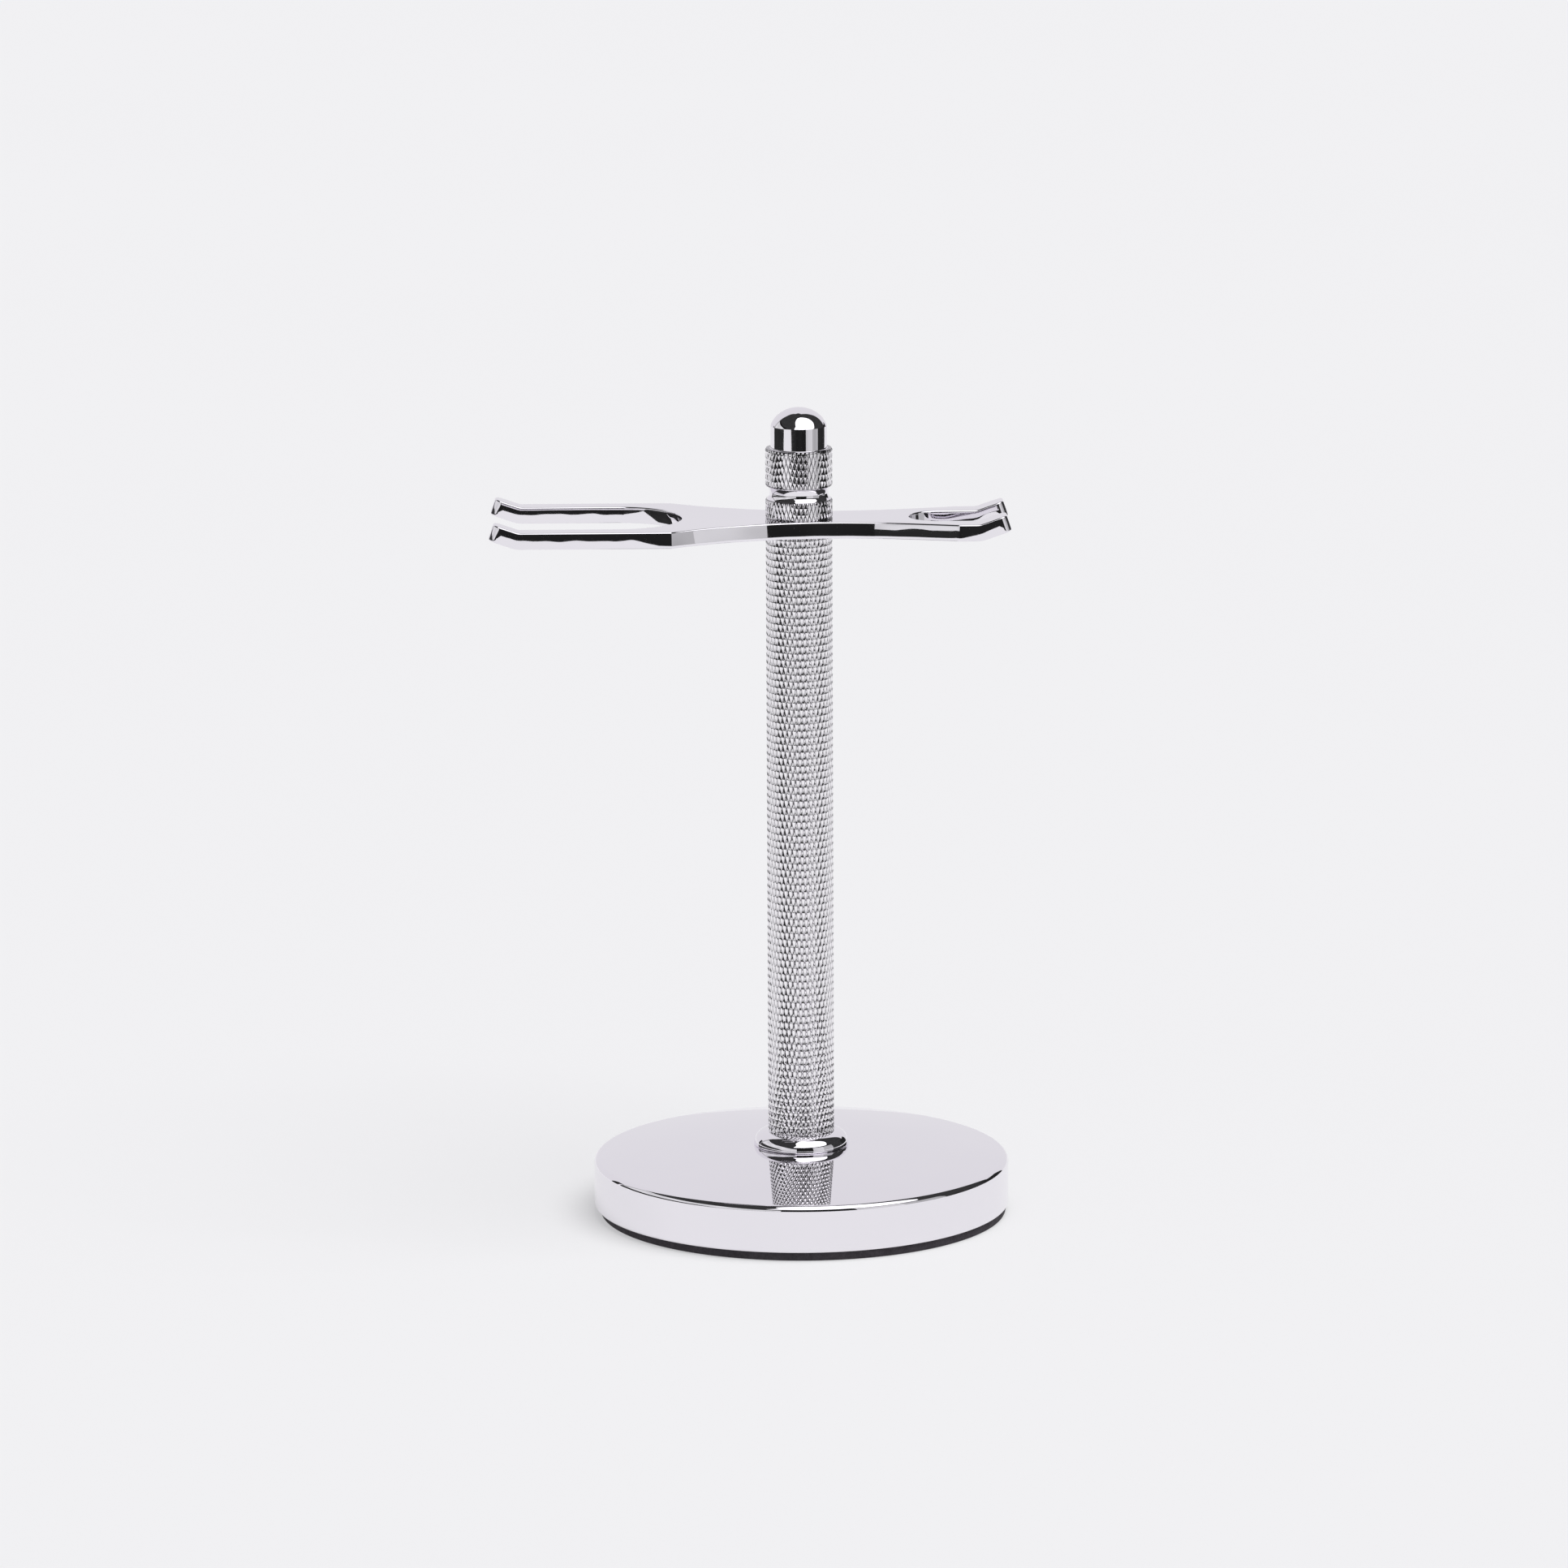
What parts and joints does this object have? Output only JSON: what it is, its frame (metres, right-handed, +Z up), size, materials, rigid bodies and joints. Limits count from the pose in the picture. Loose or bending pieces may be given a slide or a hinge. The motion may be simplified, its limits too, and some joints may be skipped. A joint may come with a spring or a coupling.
{
  "type": "razor and shaving brush stand",
  "caption": "Chromed stand with a weighted round base, a knurled post, a double-ended fork for a shaving brush and a safety razor, and a screw-down finial.",
  "frame": {"origin": "centre of the underside of the base pad, on the post's axis, in the plane that the stand rests on", "axes": "+Z up along the post, +X from the post towards the razor fork, -X towards the brush fork, +Y the third right-handed axis"},
  "size_m": [0.093, 0.0754, 0.1479],
  "materials": {
    "polished_chrome": "mirror-polished chrome plate",
    "knurled_chrome": "bright chrome plate over a diamond knurl",
    "pad_rubber": "matt black closed-cell foam rubber",
    "zinc_steel": "zinc-plated steel fastener"
  },
  "bodies": {
    "stand": {"base_pad": "pad_rubber", "base": "polished_chrome", "foot_ring": "polished_chrome", "post": "knurled_chrome", "base_screw": "zinc_steel", "lock_washer": "zinc_steel"},
    "fork": {"arm": "polished_chrome"},
    "stud": {"top_stud": "zinc_steel"},
    "cap": {"finial": "knurled_chrome"}
  },
  "joints": [
    {"name": "arm_swivel", "type": "hinge", "parent": "stand", "child": "fork", "pos_m": [0, 0, 0.12505], "axis": [0, 0, 1], "continuous": true},
    {"name": "finial_lift", "type": "slide", "parent": "stand", "child": "stud", "axis": [0, 0, 1], "range_m": [0, 0.0064]},
    {"name": "finial_turn", "type": "hinge", "parent": "stud", "child": "cap", "pos_m": [0, 0, 0.12805], "axis": [0, 0, 1], "range_deg": [0, 2880]}
  ],
  "couplings": [
    {"joint": "finial_lift", "follows": "finial_turn", "m_per_rad": 0.00012732}
  ]
}
